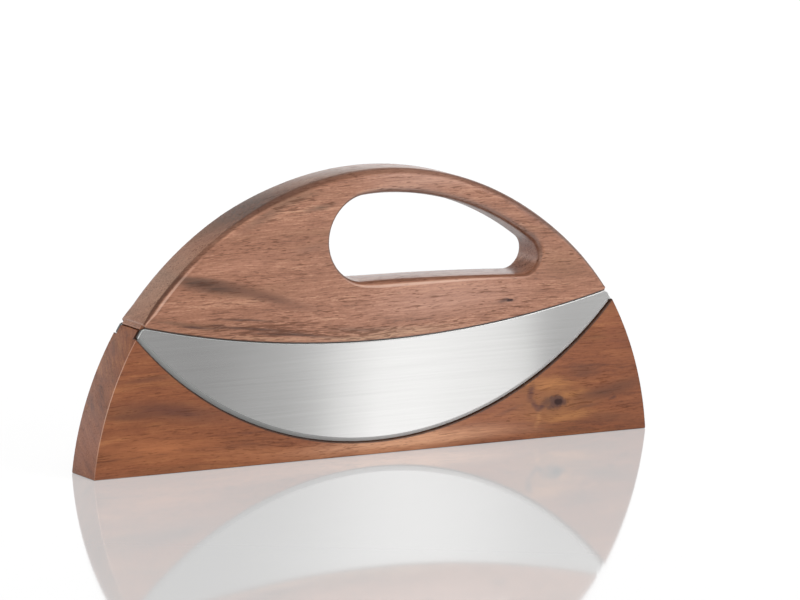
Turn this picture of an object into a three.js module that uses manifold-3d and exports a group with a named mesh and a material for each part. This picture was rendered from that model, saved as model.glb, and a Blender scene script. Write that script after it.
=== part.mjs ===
// Double mezzaluna standing in its wooden base: a handle board with a hand hole carries two crescent
// blades, one flush with each face, and lifts straight up out of the base that covers their edges.
//
// Millimetres. X runs along the tool, Y from the front face to the back face, Z up.
// The origin is the middle of the base's underside.

import * as THREE from 'three';
import { mergeVertices } from 'three/addons/utils/BufferGeometryUtils.js';
import Module from 'manifold-3d';

// Overall form
const overallLength = 290;
const overallHeight = 129.4;
const thickness = 20;

// Shoulder: the arc along which the handle meets the blades and the base
const shoulderSpan = 243.6;
const shoulderHeight = 66.5;
const shoulderSag = 14.5;

// Hand hole: a grip bar of even thickness above it, a bridge of wood below it
const gripThickness = 11.2;
const bridgeHeight = 26.8;
const wideEndX = -6.8;
const narrowEndX = 76.5;
const floorFall = 2.4;
const palmSwellRadius = 1500;

// Blades
const bladeThickness = 2;
const edgeHeight = 6.2;
const bladeEndHeight = 4.8;
const bladeHeelRadius = 1.2;
const bladeTipRadius = 2.2;
const bevelWidth = 1.9;
const edgeLand = 0.3;

// Tongue below the shoulder that the blades are bonded to
const tongueDepth = 16;
const hornWidth = 21.8;
const tongueRoot = 6;

// Lip of the same wood between the blades, reaching on past the tongue to the handle's ends
const lipDepth = 1.2;
const lipInset = 0.3;
const lipCornerRadius = 0.5;

// Weld studs on the inner side of each blade, those of one blade staggered against the other's
const studsPerBlade = 4;
const studDiameter = 5;
const studLength = 6;
const studEndDistance = 22;
const studStagger = 12;
const studChamfer = 0.5;
const grooveCount = 2;
const grooveWidth = 1;
const grooveDepth = 0.4;

// Rounded edges
const gripRound = 4;
const bridgeRound = 2;
const boardRound = 1.2;
const seamRound = 0.4;
const bladeArris = 0.2;
const handleCornerRadius = 1.4;
const gripFade = 42;
const gripLead = 3;
const holeFade = 30;
const baseFootRadius = 0.6;
const baseFootRound = 0.45;
const baseTopRadius = 0.6;

// The most of a wall's thickness, and of a corner's radius, that a rounded edge may take up
const widestRound = 0.42;
const tightestCorner = 0.8;

// Clearances
const bondGap = 0.3;
const seamGap = 0.3;
const bladeEndInset = 0.5;
const slideGap = 0.5;
const recessGap = 0.5;
const saddleGap = 1;

// Facets
const chordError = 0.05;
const roundSteps = 3;
const studSides = 20;
const cutterOverrun = 1;

const wasm = await Module();
wasm.setup();

const halfThickness = thickness / 2;
const shoulderHalf = shoulderSpan / 2;

// Circle on the middle line that passes through the top or bottom point (0, apex) and (half, height)
function arcThrough(apex, half, height) {
  const rise = height - apex;
  const radius = (half * half + rise * rise) / (2 * Math.abs(rise));
  const centre = new THREE.Vector2(0, apex + Math.sign(rise) * radius);
  return { centre, radius };
}

// Circle on the middle line that passes through two points of one side
function flankThrough(low, high) {
  const z = (high.lengthSq() - low.lengthSq()) / (2 * (high.y - low.y));
  const centre = new THREE.Vector2(0, z);
  return { centre, radius: centre.distanceTo(low) };
}

// The crossing of two circles that lies to the left (side 1) or right (side -1) of the way from a to b
function meet(a, radiusA, b, radiusB, side) {
  const gap = a.distanceTo(b);
  const along = (radiusA * radiusA - radiusB * radiusB + gap * gap) / (2 * gap);
  const across = Math.sqrt(radiusA * radiusA - along * along) * side;
  const way = b.clone().sub(a).divideScalar(gap);
  return new THREE.Vector2(a.x + way.x * along - way.y * across, a.y + way.y * along + way.x * across);
}

const mirrored = (point) => new THREE.Vector2(-point.x, point.y);

const heading = (from, to) => Math.atan2(to.y - from.y, to.x - from.x);

// Samples along an arc, each with the normal that points out of the material on the left of the way
function arc(centre, radius, from, to, turn) {
  const fullTurn = 2 * Math.PI;
  const sweep = (((to - from) * turn) % fullTurn + fullTurn) % fullTurn;
  const widestStep = 2 * Math.acos(1 - Math.min(chordError / radius, 1));
  const steps = Math.max(2, Math.ceil(sweep / widestStep));
  return Array.from({ length: steps }, (_, i) => {
    const angle = from + (turn * sweep * i) / steps;
    const ray = new THREE.Vector2(Math.cos(angle), Math.sin(angle));
    const point = centre.clone().addScaledVector(ray, radius);
    return { point, normal: ray.multiplyScalar(turn) };
  });
}

const smooth = THREE.MathUtils.smoothstep;
const mix = THREE.MathUtils.lerp;

// The main arcs: the shoulder, the handle's crown, and the base's two flanks
const shoulder = arcThrough(shoulderHeight - shoulderSag, shoulderHalf, shoulderHeight);
const crown = arcThrough(overallHeight, shoulderHalf, shoulderHeight);
const shoulderCorner = new THREE.Vector2(shoulderHalf, shoulderHeight);
const flank = flankThrough(new THREE.Vector2(overallLength / 2, 0), shoulderCorner);

function flankArc(radius, from, to) {
  return arc(flank.centre, radius, heading(flank.centre, from), heading(flank.centre, to), 1);
}

// Closed outline of the handle, counter-clockwise seen from the front
function handleOutline() {
  const r = handleCornerRadius;
  const corner = meet(shoulder.centre, shoulder.radius - r, crown.centre, crown.radius - r, 1);
  const crownEnd = heading(crown.centre, corner);
  const shoulderEnd = heading(shoulder.centre, corner);
  const crownStart = Math.PI - crownEnd;
  const shoulderStart = Math.PI - shoulderEnd;
  return [
    ...arc(crown.centre, crown.radius, crownEnd, crownStart, 1),
    ...arc(mirrored(corner), r, crownStart, shoulderStart, 1),
    ...arc(shoulder.centre, shoulder.radius, shoulderStart, shoulderEnd, 1),
    ...arc(corner, r, shoulderEnd, crownEnd, 1),
  ];
}

// The hand hole: two round ends, each touching the grip bar and the bridge
const gripRadius = crown.radius - gripThickness;
const holeFloor = shoulderHeight - shoulderSag + bridgeHeight;
function holeEnd(x, floor) {
  const drop = floor - crown.centre.y;
  const radius = (gripRadius ** 2 - x ** 2 - drop ** 2) / (2 * (gripRadius + drop));
  return { centre: new THREE.Vector2(x, floor + radius), radius };
}
const wideEnd = holeEnd(wideEndX, holeFloor);
const narrowEnd = holeEnd(narrowEndX, holeFloor - floorFall);

// Closed outline of the hole, clockwise seen from the front
function holeOutline() {
  const swell = meet(
    wideEnd.centre, wideEnd.radius + palmSwellRadius,
    narrowEnd.centre, narrowEnd.radius + palmSwellRadius, -1);
  const gripStart = heading(crown.centre, wideEnd.centre);
  const gripEnd = heading(crown.centre, narrowEnd.centre);
  const swellStart = heading(swell, narrowEnd.centre);
  const swellEnd = heading(swell, wideEnd.centre);
  return [
    ...arc(crown.centre, gripRadius, gripStart, gripEnd, -1),
    ...arc(narrowEnd.centre, narrowEnd.radius, gripEnd, swellStart + Math.PI, -1),
    ...arc(swell, palmSwellRadius, swellStart, swellEnd, 1),
    ...arc(wideEnd.centre, wideEnd.radius, swellEnd + Math.PI, gripStart, -1),
  ];
}

// Rounding of the handle's outer edge: full along the grip, small towards the ends and at the seam
const gripFull = Math.min(gripRound, widestRound * gripThickness);
const gripLeftX = wideEnd.centre.x - wideEnd.radius - gripLead;
function crownRound({ point, normal }) {
  const rise = smooth(point.x, gripLeftX - gripFade, gripLeftX);
  const fall = smooth(point.x, narrowEndX, shoulderHalf - handleCornerRadius);
  const upper = mix(boardRound, gripFull, rise * (1 - fall));
  return mix(seamRound, upper, smooth(normal.y, 0, Math.sin(heading(crown.centre, shoulderCorner))));
}

// Rounding of the hole's edge: small at its wide end, growing along the grip and around the narrow end
function holeRound({ point }) {
  const left = wideEnd.centre.x - wideEnd.radius;
  const along = smooth(point.x, left + boardRound, left + holeFade);
  const up = smooth(point.y, narrowEnd.centre.y - narrowEnd.radius, narrowEnd.centre.y + narrowEnd.radius);
  return mix(boardRound, mix(bridgeRound, gripFull, up), along);
}

// Quarter-round edges at the front and back of a board, as steps of inset and depth
function roundedProfile(radius) {
  const front = Array.from({ length: roundSteps + 1 }, (_, i) => {
    const angle = ((Math.PI / 2) * i) / roundSteps;
    const inset = radius * (1 - Math.sin(angle));
    const depth = radius * (1 - Math.cos(angle)) - halfThickness;
    return new THREE.Vector2(inset, depth);
  });
  const back = front.toReversed().map((step) => new THREE.Vector2(step.x, -step.y));
  return [...front, ...back];
}

// A board cut to closed contours, the first its outline, the others its holes, with a profiled edge
function board(contours, profile) {
  const positions = [];
  const index = [];
  const rims = contours.map((contour) => contour.map((sample) => profile(sample).map((step) => {
    const place = sample.point.clone().addScaledVector(sample.normal, -step.x);
    positions.push(place.x, step.y, place.y);
    return { place, id: positions.length / 3 - 1 };
  })));
  for (const rim of rims) {
    rim.forEach((here, i) => {
      const next = rim[(i + 1) % rim.length];
      for (let k = 0; k + 1 < here.length; k += 1) {
        index.push(here[k].id, here[k + 1].id, next[k].id);
        index.push(here[k + 1].id, next[k + 1].id, next[k].id);
      }
    });
  }
  const face = (level) => {
    const loops = rims.map((rim) => rim.map((steps) => steps.at(level)));
    const places = loops.map((loop) => loop.map((step) => step.place));
    const ids = loops.flat().map((step) => step.id);
    const triangles = THREE.ShapeUtils.triangulateShape(places[0], places.slice(1));
    return triangles.map((corners) => corners.map((corner) => ids[corner]));
  };
  face(0).forEach(([a, b, c]) => index.push(a, b, c));
  face(-1).forEach(([a, b, c]) => index.push(a, c, b));
  const geometry = new THREE.BufferGeometry();
  geometry.setAttribute('position', new THREE.Float32BufferAttribute(positions, 3));
  geometry.setIndex(index);
  geometry.computeVertexNormals();
  return geometry;
}

// A flat outline in X and Z, extruded to equal depths in front of and behind the middle plane
function slab(points, depth) {
  const shape = new THREE.Shape(points);
  const geometry = new THREE.ExtrudeGeometry(shape, { depth, bevelEnabled: false });
  return geometry.rotateX(Math.PI / 2).translate(0, depth / 2, 0);
}

// Points along a circle around the shoulder's centre, from one place along X to another
function shoulderRun(radius, from, to) {
  const below = (x) => new THREE.Vector2(x, shoulder.centre.y - Math.sqrt(radius ** 2 - x ** 2));
  const start = heading(shoulder.centre, below(from));
  const end = heading(shoulder.centre, below(to));
  const samples = arc(shoulder.centre, radius, start, end, Math.sign(to - from));
  return [...samples.map((sample) => sample.point), below(to)];
}

// A closed solid for cutting and joining
function solid(geometry) {
  const bare = geometry.clone();
  bare.deleteAttribute('normal');
  bare.deleteAttribute('uv');
  const merged = mergeVertices(bare);
  const vertProperties = new Float32Array(merged.attributes.position.array);
  const triVerts = new Uint32Array(merged.index.array);
  return new wasm.Manifold(new wasm.Mesh({ numProp: 3, vertProperties, triVerts }));
}

function geometryOf(body) {
  const { vertProperties, triVerts } = body.getMesh();
  const geometry = new THREE.BufferGeometry();
  geometry.setAttribute('position', new THREE.BufferAttribute(vertProperties, 3));
  geometry.setIndex(new THREE.BufferAttribute(triVerts, 1));
  geometry.computeVertexNormals();
  return geometry;
}

// The blade's ends follow the flanks, its cutting edge an arc from end to end
const bladeFlank = flank.radius - bladeEndInset;
const bladeEnd = shoulderHeight - bladeEndHeight;
const bladeReach = Math.sqrt(bladeFlank ** 2 - (bladeEnd - flank.centre.y) ** 2);
const edge = arcThrough(edgeHeight, bladeReach, bladeEnd);

// Closed outline of the front blade, counter-clockwise seen from the front
function bladeOutline() {
  const top = shoulder.radius + bondGap;
  const tip = meet(
    shoulder.centre, top + bladeTipRadius,
    flank.centre, bladeFlank - bladeTipRadius, 1);
  const heel = meet(
    edge.centre, edge.radius - bladeHeelRadius,
    flank.centre, bladeFlank - bladeHeelRadius, 1);
  const farTip = mirrored(tip);
  const farHeel = mirrored(heel);
  return [
    ...arc(shoulder.centre, top, heading(shoulder.centre, tip), heading(shoulder.centre, farTip), -1),
    ...arc(farTip, bladeTipRadius, heading(farTip, shoulder.centre), heading(flank.centre, farTip), 1),
    ...flankArc(bladeFlank, farTip, farHeel),
    ...arc(farHeel, bladeHeelRadius, heading(flank.centre, farHeel), heading(edge.centre, farHeel), 1),
    ...arc(edge.centre, edge.radius, heading(edge.centre, farHeel), heading(edge.centre, heel), 1),
    ...arc(heel, bladeHeelRadius, heading(edge.centre, heel), heading(flank.centre, heel), 1),
    ...flankArc(bladeFlank, heel, tip),
    ...arc(tip, bladeTipRadius, heading(flank.centre, tip), heading(tip, shoulder.centre), 1),
  ];
}

// The blade is ground on its outer side along the edge, and has a fine arris along its top and ends
const bladeInner = halfThickness - bladeThickness;
function bladeProfile({ normal }) {
  const grind = smooth(-normal.y, 0, (edge.centre.y - bladeEnd) / edge.radius);
  const inset = mix(bladeArris, bevelWidth, grind);
  const depth = mix(bladeArris, bladeThickness - edgeLand, grind);
  return [
    new THREE.Vector2(inset, -halfThickness),
    new THREE.Vector2(0, depth - halfThickness),
    new THREE.Vector2(0, -bladeInner),
  ];
}

// Closed outline of the base, counter-clockwise seen from the front
function baseOutline() {
  const foot = new THREE.Vector2(0, baseFootRadius);
  foot.x = Math.sqrt((flank.radius - baseFootRadius) ** 2 - (baseFootRadius - flank.centre.y) ** 2);
  const top = shoulder.radius + lipDepth + seamGap;
  const horn = meet(
    shoulder.centre, top + baseTopRadius,
    flank.centre, flank.radius - baseTopRadius, 1);
  const farFoot = mirrored(foot);
  const farHorn = mirrored(horn);
  const down = -Math.PI / 2;
  const underside = { point: new THREE.Vector2(-foot.x, 0), normal: new THREE.Vector2(0, -1) };
  return [
    underside,
    ...arc(foot, baseFootRadius, down, heading(flank.centre, foot), 1),
    ...flankArc(flank.radius, foot, horn),
    ...arc(horn, baseTopRadius, heading(flank.centre, horn), heading(horn, shoulder.centre), 1),
    ...arc(shoulder.centre, top, heading(shoulder.centre, horn), heading(shoulder.centre, farHorn), -1),
    ...arc(farHorn, baseTopRadius, heading(farHorn, shoulder.centre), heading(flank.centre, farHorn), 1),
    ...flankArc(flank.radius, farHorn, farFoot),
    ...arc(farFoot, baseFootRadius, heading(flank.centre, farFoot), down, 1),
  ];
}

// Rounding of the base's edges: around the underside, and a fine arris elsewhere
const footRound = Math.min(baseFootRound, tightestCorner * baseFootRadius);
const baseRound = ({ normal }) => mix(seamRound, footRound, smooth(-normal.y, 0, 1));

// The tongue with its lip, its ends upright so that it can lift straight out of the base
const tongueFace = bladeInner - bondGap;
const tongueHalf = shoulderHalf - hornWidth;
function tongueOutline() {
  const r = lipCornerRadius;
  const lip = shoulder.radius + lipDepth;
  const root = shoulder.radius - tongueRoot;
  const end = crown.radius - lipInset;
  const corner = meet(shoulder.centre, lip - r, crown.centre, end - r, 1);
  const top = meet(shoulder.centre, root, crown.centre, end, 1);
  const low = heading(shoulder.centre, corner);
  const high = heading(crown.centre, corner);
  const lipEnd = shoulder.centre.x + lip * Math.cos(low);
  const rise = (from, to) => arc(crown.centre, end, from, to, 1);
  const points = (samples) => samples.map((sample) => sample.point);
  return [
    ...shoulderRun(lip, -lipEnd, -tongueHalf),
    ...shoulderRun(shoulder.radius + tongueDepth, -tongueHalf, tongueHalf),
    ...shoulderRun(lip, tongueHalf, lipEnd).slice(0, -1),
    ...points(arc(corner, r, low, high, 1)),
    ...points(rise(high, heading(crown.centre, top))),
    ...shoulderRun(root, top.x, -top.x).slice(0, -1),
    ...points(rise(Math.PI - heading(crown.centre, top), Math.PI - high)),
    ...points(arc(mirrored(corner), r, Math.PI - high, Math.PI - low, 1)),
  ];
}

// Studs and their blind holes in the tongue, for the front blade
const studPitch = (2 * (tongueHalf - studEndDistance) - studStagger) / (studsPerBlade - 1);
const studPlaces = Array.from({ length: studsPerBlade }, (_, i) => {
  const x = (i - (studsPerBlade - 1) / 2) * studPitch - studStagger / 2;
  const reach = shoulder.radius + tongueDepth / 2;
  const z = shoulder.centre.y - Math.sqrt(reach * reach - x * x);
  return new THREE.Vector3(x, -tongueFace, z);
});

function stud() {
  const radius = studDiameter / 2;
  const land = (studLength - studChamfer - grooveCount * grooveWidth) / (grooveCount + 1);
  const profile = [new THREE.Vector2(0, 0), new THREE.Vector2(radius, 0)];
  for (let i = 0; i < grooveCount; i += 1) {
    const start = (i + 1) * land + i * grooveWidth;
    profile.push(new THREE.Vector2(radius, start));
    profile.push(new THREE.Vector2(radius - grooveDepth, start));
    profile.push(new THREE.Vector2(radius - grooveDepth, start + grooveWidth));
    profile.push(new THREE.Vector2(radius, start + grooveWidth));
  }
  profile.push(new THREE.Vector2(radius, studLength - studChamfer));
  profile.push(new THREE.Vector2(radius - studChamfer, studLength));
  profile.push(new THREE.Vector2(0, studLength));
  return new THREE.LatheGeometry(profile, studSides);
}

// All the blind holes, those of the back blade being the front ones turned half round
function studHoles() {
  const radius = studDiameter / 2 + bondGap;
  const depth = studLength + bondGap + cutterOverrun;
  const hole = new THREE.CylinderGeometry(radius, radius, depth, studSides);
  hole.translate(0, depth / 2 - cutterOverrun, 0);
  const front = studPlaces.map((place) => hole.clone().translate(place.x, place.y, place.z));
  const back = front.map((geometry) => geometry.clone().rotateZ(Math.PI));
  return [...front, ...back];
}

// The handle: the holed board, its tongue, and the blind holes for the studs
function handle() {
  const rounded = (outline, round) => outline.map((sample) => ({ ...sample, round: round(sample) }));
  const contours = [rounded(handleOutline(), crownRound), rounded(holeOutline(), holeRound)];
  const plate = board(contours, (sample) => roundedProfile(sample.round));
  const tongue = slab(tongueOutline(), 2 * tongueFace);
  const body = studHoles().reduce(
    (rest, hole) => rest.subtract(solid(hole)),
    solid(plate).add(solid(tongue)));
  return geometryOf(body);
}

// The base: a block with a crescent recess in each face and a saddle for the tongue in its top
function base() {
  const block = board([baseOutline()], (sample) => roundedProfile(baseRound(sample)));
  const recessDepth = bladeThickness + slideGap + cutterOverrun;
  const recessRadius = edge.radius + recessGap;
  const sides = Math.ceil(Math.PI / Math.acos(1 - chordError / recessRadius));
  const recess = new THREE.CylinderGeometry(recessRadius, recessRadius, recessDepth, sides);
  const offset = halfThickness + cutterOverrun - recessDepth / 2;
  const faces = [-offset, offset].map((y) => recess.clone().translate(0, y, edge.centre.y));
  const saddleOuter = shoulder.radius + tongueDepth + saddleGap;
  const saddleInner = shoulder.radius - cutterOverrun;
  const saddleHalf = tongueHalf + saddleGap;
  const seat = [
    ...shoulderRun(saddleOuter, -saddleHalf, saddleHalf),
    ...shoulderRun(saddleInner, saddleHalf, -saddleHalf),
  ];
  const saddle = slab(seat, thickness + 2 * cutterOverrun);
  const body = [...faces, saddle].reduce(
    (rest, cutter) => rest.subtract(solid(cutter)),
    solid(block));
  return geometryOf(body);
}

const handleWood = new THREE.MeshStandardMaterial({ color: 0xa8745c, roughness: 0.55, metalness: 0 });
const baseWood = new THREE.MeshStandardMaterial({ color: 0x96603f, roughness: 0.55, metalness: 0 });
const bladeSteel = new THREE.MeshStandardMaterial({ color: 0xc4c4c2, roughness: 0.35, metalness: 1 });
const studSteel = new THREE.MeshStandardMaterial({ color: 0x9a9a98, roughness: 0.45, metalness: 1 });

function named(name, geometry, material) {
  const mesh = new THREE.Mesh(geometry, material);
  mesh.name = name;
  return mesh;
}

// One blade with its studs, made as the front one; the back one is the same set turned half round
function bladeSet(side) {
  const group = new THREE.Group();
  group.add(named(`${side}_blade`, board([bladeOutline()], bladeProfile), bladeSteel));
  studPlaces.forEach((place, i) => {
    const piece = named(`${side}_stud_${i + 1}`, stud(), studSteel);
    piece.position.copy(place);
    group.add(piece);
  });
  return group;
}

const backSet = bladeSet('back');
backSet.rotation.z = Math.PI;

const tool = new THREE.Group();
tool.add(named('handle', handle(), handleWood), bladeSet('front'), backSet);

const mezzaluna = new THREE.Group();
mezzaluna.add(named('base', base(), baseWood), tool);

export default mezzaluna;
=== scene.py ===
"""Double mezzaluna standing in its wooden base: oiled hardwood handle, brushed crescent blades."""
import math

import bpy
from mathutils import Matrix, Vector


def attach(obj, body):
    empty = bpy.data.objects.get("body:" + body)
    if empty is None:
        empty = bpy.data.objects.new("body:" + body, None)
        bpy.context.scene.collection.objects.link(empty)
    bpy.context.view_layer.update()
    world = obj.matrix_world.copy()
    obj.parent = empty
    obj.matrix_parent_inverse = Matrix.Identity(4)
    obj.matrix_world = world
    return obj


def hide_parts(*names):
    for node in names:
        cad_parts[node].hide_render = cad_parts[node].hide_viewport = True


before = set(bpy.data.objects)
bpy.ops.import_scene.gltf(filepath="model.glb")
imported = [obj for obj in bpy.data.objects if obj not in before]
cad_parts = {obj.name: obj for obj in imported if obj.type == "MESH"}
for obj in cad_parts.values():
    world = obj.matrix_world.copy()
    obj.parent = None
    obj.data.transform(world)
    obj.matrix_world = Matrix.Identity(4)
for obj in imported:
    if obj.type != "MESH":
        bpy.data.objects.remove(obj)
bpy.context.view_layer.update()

# Sizes of the tool, in millimetres
LENGTH = 289.99
HEIGHT = 129.35
THICKNESS = 20.0
SHOULDER_SPAN = 243.6
SHOULDER_HEIGHT = 66.5
SHOULDER_SAG = 14.5
GRIP_THICKNESS = 11.2
BRIDGE_HEIGHT = 26.8
WIDE_END_X = -6.8
NARROW_END_X = 76.5
FLOOR_FALL = 2.4
PALM_SWELL_RADIUS = 1500.0
BLADE_THICKNESS = 2.0
EDGE_HEIGHT = 6.2
BLADE_END_HEIGHT = 4.8
BLADE_HEEL_RADIUS = 1.2
BLADE_TIP_RADIUS = 2.2
BEVEL_WIDTH = 1.9
EDGE_LAND = 0.3
TONGUE_DEPTH = 16.0
HORN_WIDTH = 21.8
TONGUE_ROOT = 6.0
LIP_DEPTH = 1.2
LIP_INSET = 0.3
LIP_CORNER = 0.5
STUDS_PER_BLADE = 4
STUD_DIAMETER = 5.0
STUD_LENGTH = 6.0
STUD_END_DISTANCE = 22.0
STUD_STAGGER = 12.0
STUD_CHAMFER = 0.5
GROOVE_COUNT = 2
GROOVE_WIDTH = 1.0
GROOVE_DEPTH = 0.4

# Rounded edges
GRIP_ROUND = 4.0
BRIDGE_ROUND = 2.0
PALM_ROUND = 3.4
END_ROUND = 2.6
BOARD_ROUND = 1.2
SEAM_ROUND = 0.4
BLADE_ARRIS = 0.35
BLADE_BACK_ARRIS = 0.1
HANDLE_CORNER = 1.4
GRIP_FADE = 34.0
GRIP_LEAD = 15.0
END_FADE = 8.0
HOLE_FADE = 30.0
FOOT_RADIUS = 0.6
FOOT_ROUND = 0.45
HORN_RADIUS = 0.6

# Clearances
BOND_GAP = 0.3
SEAM_GAP = 0.3
BLADE_END_INSET = 0.5
SLIDE_GAP = 0.5
RECESS_GAP = 0.5
SADDLE_GAP = 1.0
OVERRUN = 1.0

HALF_THICKNESS = THICKNESS / 2
SHOULDER_HALF = SHOULDER_SPAN / 2
MM = 0.001
DOWN = -math.pi / 2

# How finely the shapes are drawn
POINT_SPACING = 1.4
FINE_SPACING = 0.7
POINT_TURN = math.radians(10)
HANDLE_STEPS = 8
HANDLE_MARGIN = 0.15
BASE_STEPS = 6
FACE_MARGIN = 0.12
STUD_SIDES = 40
HOLE_SIDES = 32
RECESS_SIDES = 720
CREASE = math.radians(24)
STUD_CREASE = math.radians(30)
MERGE_DISTANCE = 0.001 * MM


class Wire:
    """One output of a node. Arithmetic on it adds Math nodes to its tree."""

    def __init__(self, tree, socket):
        self.tree = tree
        self.socket = socket
        self.node = socket.node

    def other(self, name):
        return Wire(self.tree, pick(self.node.outputs, name))

    def axis(self, name):
        return self.tree.node("ShaderNodeSeparateXYZ", {}, {"Vector": self}, name)

    def maths(self, operation, value=0.0):
        return self.tree.maths(operation, self, value)

    def vectors(self, operation, value, output=0):
        return self.tree.node(
            "ShaderNodeVectorMath", {"operation": operation}, {0: self, 1: value}, output)

    def scaled(self, factor):
        return self.tree.node("ShaderNodeVectorMath", {"operation": "SCALE"}, {0: self, "Scale": factor})

    def moved(self, **steps):
        return self.vectors("ADD", self.tree.node("ShaderNodeCombineXYZ", {}, steps))

    def __add__(self, value):
        return self.maths("ADD", value)

    def __sub__(self, value):
        return self.maths("SUBTRACT", value)

    def __rsub__(self, value):
        return self.tree.maths("SUBTRACT", value, self)

    def __mul__(self, value):
        return self.maths("MULTIPLY", value)

    def __truediv__(self, value):
        return self.maths("DIVIDE", value)

    def __rtruediv__(self, value):
        return self.tree.maths("DIVIDE", value, self)

    def __gt__(self, value):
        return self.maths("GREATER_THAN", value)

    def __lt__(self, value):
        return self.maths("LESS_THAN", value)

    __radd__, __rmul__ = __add__, __mul__


def pick(sockets, key):
    """A socket by its place, its identifier or its name."""
    if isinstance(key, int):
        return sockets[key]
    by_identifier = [socket for socket in sockets if socket.identifier == key]
    return by_identifier[0] if by_identifier else sockets[key]


class Tree:
    """A node tree in the making. Every node in it comes from the method node, its settings made first."""

    def __init__(self, nodes):
        self.nodes = nodes
        nodes.nodes.clear()

    def node(self, kind, settings=None, inputs=None, output=0):
        made = self.nodes.nodes.new(kind)
        for key, value in (settings or {}).items():
            if key == "stops":
                set_stops(made.color_ramp.elements, value)
            elif key == "pair":
                made.pair_with_output(value)
            else:
                setattr(made, key, value)
        for key, value in (inputs or {}).items():
            for item in value if isinstance(value, list) else [value]:
                self.feed(pick(made.inputs, key), item)
        return Wire(self, pick(made.outputs, output)) if made.outputs else None

    def maths(self, operation, first, second):
        return self.node("ShaderNodeMath", {"operation": operation}, {0: first, 1: second})

    def feed(self, socket, value):
        if isinstance(value, Wire):
            self.nodes.links.new(value.socket, socket)
        else:
            socket.default_value = value


def set_stops(elements, stops):
    """Sets a colour ramp's stops from pairs of place and colour."""
    while len(elements) < len(stops):
        elements.new(1.0)
    for element, (place, shade) in zip(elements, stops):
        element.position = place
        element.color = shade


# Flat outlines, drawn in millimetres as seen from the front

def flat(x, z):
    return Vector((x, z))


def heading(start, end):
    return math.atan2(end.y - start.y, end.x - start.x)


def mirrored(point):
    return flat(-point.x, point.y)


def smooth(value, low, high):
    share = min(max((value - low) / (high - low), 0.0), 1.0)
    return share * share * (3.0 - 2.0 * share)


def mix(low, high, share):
    return low + (high - low) * share


def arc_through(apex, half, height):
    """Circle on the middle line through the points (0, apex) and (half, height)."""
    rise = height - apex
    radius = (half * half + rise * rise) / (2 * abs(rise))
    return flat(0.0, apex + math.copysign(radius, rise)), radius


def meet(a, radius_a, b, radius_b, side):
    """The crossing of two circles to the left (side 1) or right (side -1) of the way from a to b."""
    gap = (b - a).length
    along = (radius_a ** 2 - radius_b ** 2 + gap ** 2) / (2 * gap)
    across = math.sqrt(radius_a ** 2 - along ** 2) * side
    way = (b - a) / gap
    return flat(a.x + way.x * along - way.y * across, a.y + way.y * along + way.x * across)


def arc(centre, radius, start, end, turn, spacing=POINT_SPACING):
    """Points along an arc, each with the direction that leads out of the material."""
    sweep = ((end - start) * turn) % math.tau
    steps = max(3, math.ceil(sweep * radius / spacing), math.ceil(sweep / POINT_TURN))
    angles = [start + turn * sweep * i / steps for i in range(steps)]
    rays = [flat(math.cos(angle), math.sin(angle)) for angle in angles]
    return [(centre + ray * radius, ray * turn) for ray in rays]


SHOULDER, SHOULDER_RADIUS = arc_through(SHOULDER_HEIGHT - SHOULDER_SAG, SHOULDER_HALF, SHOULDER_HEIGHT)
CROWN, CROWN_RADIUS = arc_through(HEIGHT, SHOULDER_HALF, SHOULDER_HEIGHT)
FLANK = flat(0.0, (SHOULDER_HALF ** 2 + SHOULDER_HEIGHT ** 2 - LENGTH ** 2 / 4) / (2 * SHOULDER_HEIGHT))
FLANK_RADIUS = math.hypot(LENGTH / 2, FLANK.y)
GRIP_RADIUS = CROWN_RADIUS - GRIP_THICKNESS
HOLE_FLOOR = SHOULDER_HEIGHT - SHOULDER_SAG + BRIDGE_HEIGHT
BLADE_FLANK = FLANK_RADIUS - BLADE_END_INSET
BLADE_END = SHOULDER_HEIGHT - BLADE_END_HEIGHT
BLADE_REACH = math.sqrt(BLADE_FLANK ** 2 - (BLADE_END - FLANK.y) ** 2)
EDGE, EDGE_RADIUS = arc_through(EDGE_HEIGHT, BLADE_REACH, BLADE_END)
BLADE_INNER = HALF_THICKNESS - BLADE_THICKNESS
RECESS_FLOOR = BLADE_INNER - SLIDE_GAP
TONGUE_FACE = BLADE_INNER - BOND_GAP
TONGUE_HALF = SHOULDER_HALF - HORN_WIDTH


def flank_arc(radius, start, end):
    return arc(FLANK, radius, heading(FLANK, start), heading(FLANK, end), 1)


def handle_outline():
    corner = meet(SHOULDER, SHOULDER_RADIUS - HANDLE_CORNER, CROWN, CROWN_RADIUS - HANDLE_CORNER, 1)
    crown_end = heading(CROWN, corner)
    shoulder_end = heading(SHOULDER, corner)
    crown_start = math.pi - crown_end
    shoulder_start = math.pi - shoulder_end
    return (arc(CROWN, CROWN_RADIUS, crown_end, crown_start, 1)
            + arc(mirrored(corner), HANDLE_CORNER, crown_start, shoulder_start, 1)
            + arc(SHOULDER, SHOULDER_RADIUS, shoulder_start, shoulder_end, 1)
            + arc(corner, HANDLE_CORNER, shoulder_end, crown_end, 1))


def hole_end(x, floor):
    """Round end of the hand hole that touches the grip bar and the bridge."""
    drop = floor - CROWN.y
    radius = (GRIP_RADIUS ** 2 - x ** 2 - drop ** 2) / (2 * (GRIP_RADIUS + drop))
    return flat(x, floor + radius), radius


WIDE_END, WIDE_RADIUS = hole_end(WIDE_END_X, HOLE_FLOOR)
NARROW_END, NARROW_RADIUS = hole_end(NARROW_END_X, HOLE_FLOOR - FLOOR_FALL)
HOLE_LEFT = WIDE_END.x - WIDE_RADIUS


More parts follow.
